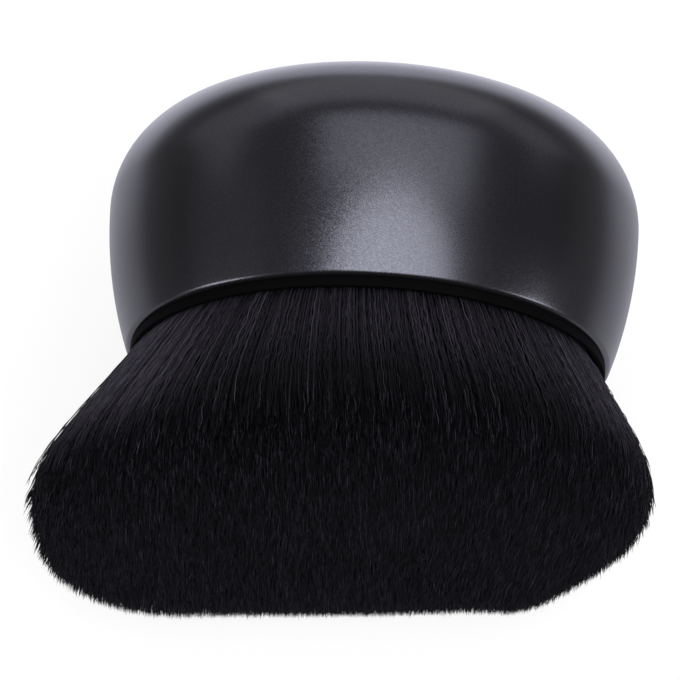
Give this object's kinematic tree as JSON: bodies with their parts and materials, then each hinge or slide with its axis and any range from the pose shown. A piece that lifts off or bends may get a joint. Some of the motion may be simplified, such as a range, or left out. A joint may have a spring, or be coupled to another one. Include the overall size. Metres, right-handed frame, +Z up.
{
  "type": "kabuki makeup brush",
  "caption": "Short, wide kabuki makeup brush: domed pearl-black handle, dark ferrule collar and a dense, flared head of black bristles. It lies on its side.",
  "frame": {"origin": "on the table, under the middle of the brush's bounding box as it lies on its side", "axes": "+Z up from the table; the brush's own axis is level and runs along Y, with the bristles to -Y and the handle's flat end to +Y; +X is to the right for someone who looks along +Y"},
  "size_m": [0.0692, 0.0525, 0.0645],
  "materials": {
    "handle_lacquer": "satin pearl black lacquer",
    "weight_steel": "plain turned steel",
    "pad_foam": "matt adhesive foam",
    "ferrule_black": "black anodised",
    "clear_glue": "cured epoxy glue",
    "root_resin": "cured epoxy resin",
    "binding_cord": "twisted cord",
    "bristle_black": "fine black synthetic fibre"
  },
  "bodies": {
    "root": {"handle_body": "handle_lacquer", "handle_weight": "weight_steel", "weight_pad": "pad_foam", "ferrule_cup": "ferrule_black", "cup_glue": "clear_glue", "resin_plug": "root_resin", "root_binding": "binding_cord", "tuft_core": "bristle_black", "tuft_middle": "bristle_black", "tuft_outer": "bristle_black"}
  },
  "joints": []
}
